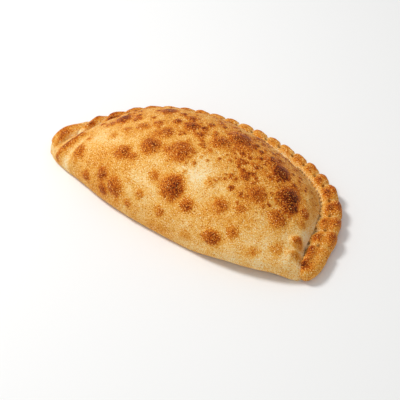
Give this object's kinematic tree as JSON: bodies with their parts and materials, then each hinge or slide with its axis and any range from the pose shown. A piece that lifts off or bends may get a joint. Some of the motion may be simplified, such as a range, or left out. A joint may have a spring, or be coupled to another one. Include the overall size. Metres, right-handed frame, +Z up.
{
  "type": "calzone",
  "caption": "Baked calzone, a half-round of golden, blistered dough domed over its filling, with a folded side and a crimped rim.",
  "frame": {"origin": "on the surface it rests on, under the middle of its bounding box", "axes": "+X along the folded side, towards the corner with the long flap; +Y from the folded side towards the crimped rim; +Z up"},
  "size_m": [0.2608, 0.1411, 0.051],
  "materials": {
    "baked_dough": "oven-baked wheat dough, golden with brown blisters and pale creases, satin to matt"
  },
  "bodies": {
    "root": {"calzone": "baked_dough"}
  },
  "joints": []
}
